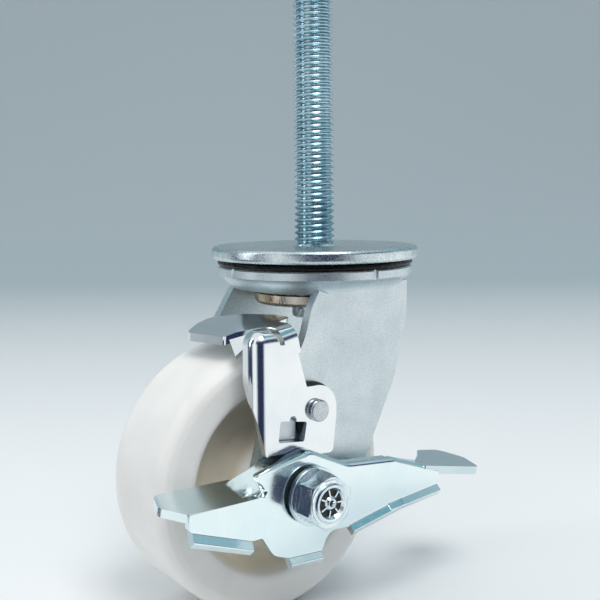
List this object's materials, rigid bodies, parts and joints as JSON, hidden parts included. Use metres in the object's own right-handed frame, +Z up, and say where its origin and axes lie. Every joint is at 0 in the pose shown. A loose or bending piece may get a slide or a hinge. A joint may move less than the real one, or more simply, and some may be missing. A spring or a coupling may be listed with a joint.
{
  "type": "threaded stem swivel caster",
  "caption": "Threaded stem swivel caster with a double ball race, a pressed steel fork, a moulded nylon wheel and a side foot lever that presses a brake shoe onto the tread.",
  "frame": {"origin": "on the stem's axis at the top face of the plate", "axes": "+Z up along the stem; the wheel trails towards -X at rest and its axle lies along Y; the brake is on -Y"},
  "size_m": [0.1121, 0.0743, 0.1822],
  "materials": {
    "stem_zinc": "blue zinc plating on a rolled thread",
    "plate_zinc": "satin blue zinc plating with fine speckle",
    "ball_steel": "polished ball steel under grease",
    "fork_zinc": "satin pearl zinc plating",
    "cup_zinc": "zinc plating with a straw tint",
    "wheel_nylon": "natural nylon, off-white, semi-matt",
    "sleeve_steel": "plain turned steel",
    "washer_zinc": "bright zinc plating",
    "bolt_zinc": "bright zinc plating",
    "bush_steel": "plain turned steel",
    "nut_zinc": "bright blue zinc plating",
    "arm_zinc": "bright blue zinc plating",
    "spacer_dark": "dark oiled washer",
    "rivet_steel": "upset steel, dull zinc",
    "lever_zinc": "bright blue zinc plating"
  },
  "bodies": {
    "mounting": {"threaded_stem": "stem_zinc", "top_plate": "plate_zinc", "lower_race_cup": "cup_zinc"},
    "upper_ball_ring": {"upper_balls": "ball_steel"},
    "lower_ball_ring": {"lower_balls": "ball_steel"},
    "fork_body": {"fork": "fork_zinc", "axle_sleeve": "sleeve_steel", "far_washer": "washer_zinc", "axle_bolt": "bolt_zinc", "lever_bush": "bush_steel", "flat_washer": "washer_zinc", "axle_nut": "nut_zinc", "arm_spacer": "spacer_dark", "arm_rivet": "rivet_steel"},
    "wheel_body": {"wheel": "wheel_nylon"},
    "lever": {"brake_lever": "lever_zinc"},
    "arm": {"brake_arm": "arm_zinc"}
  },
  "joints": [
    {"name": "fork_swivel", "type": "hinge", "parent": "mounting", "child": "fork_body", "pos_m": [0, 0, 0], "axis": [0, 0, 1], "continuous": true},
    {"name": "upper_ball_orbit", "type": "hinge", "parent": "mounting", "child": "upper_ball_ring", "pos_m": [0, 0, 0], "axis": [0, 0, 1], "continuous": true},
    {"name": "lower_ball_orbit", "type": "hinge", "parent": "mounting", "child": "lower_ball_ring", "pos_m": [0, 0, 0], "axis": [0, 0, 1], "continuous": true},
    {"name": "wheel_spin", "type": "hinge", "parent": "fork_body", "child": "wheel_body", "pos_m": [-0.025, 0, -0.0662], "axis": [0, 1, 0], "continuous": true},
    {"name": "lever_tilt", "type": "hinge", "parent": "fork_body", "child": "lever", "pos_m": [-0.025, -0.0302, -0.0662], "axis": [0, 1, 0], "range_deg": [-19, 0]},
    {"name": "arm_swing", "type": "hinge", "parent": "fork_body", "child": "arm", "pos_m": [-0.0189, -0.0254, -0.0448], "axis": [0, 1, 0], "range_deg": [-14.1, 0]}
  ],
  "couplings": [
    {"joint": "upper_ball_orbit", "follows": "fork_swivel", "ratio": 0.5},
    {"joint": "lower_ball_orbit", "follows": "fork_swivel", "ratio": 0.5},
    {"joint": "arm_swing", "follows": "lever_tilt", "ratio": 0.737}
  ]
}
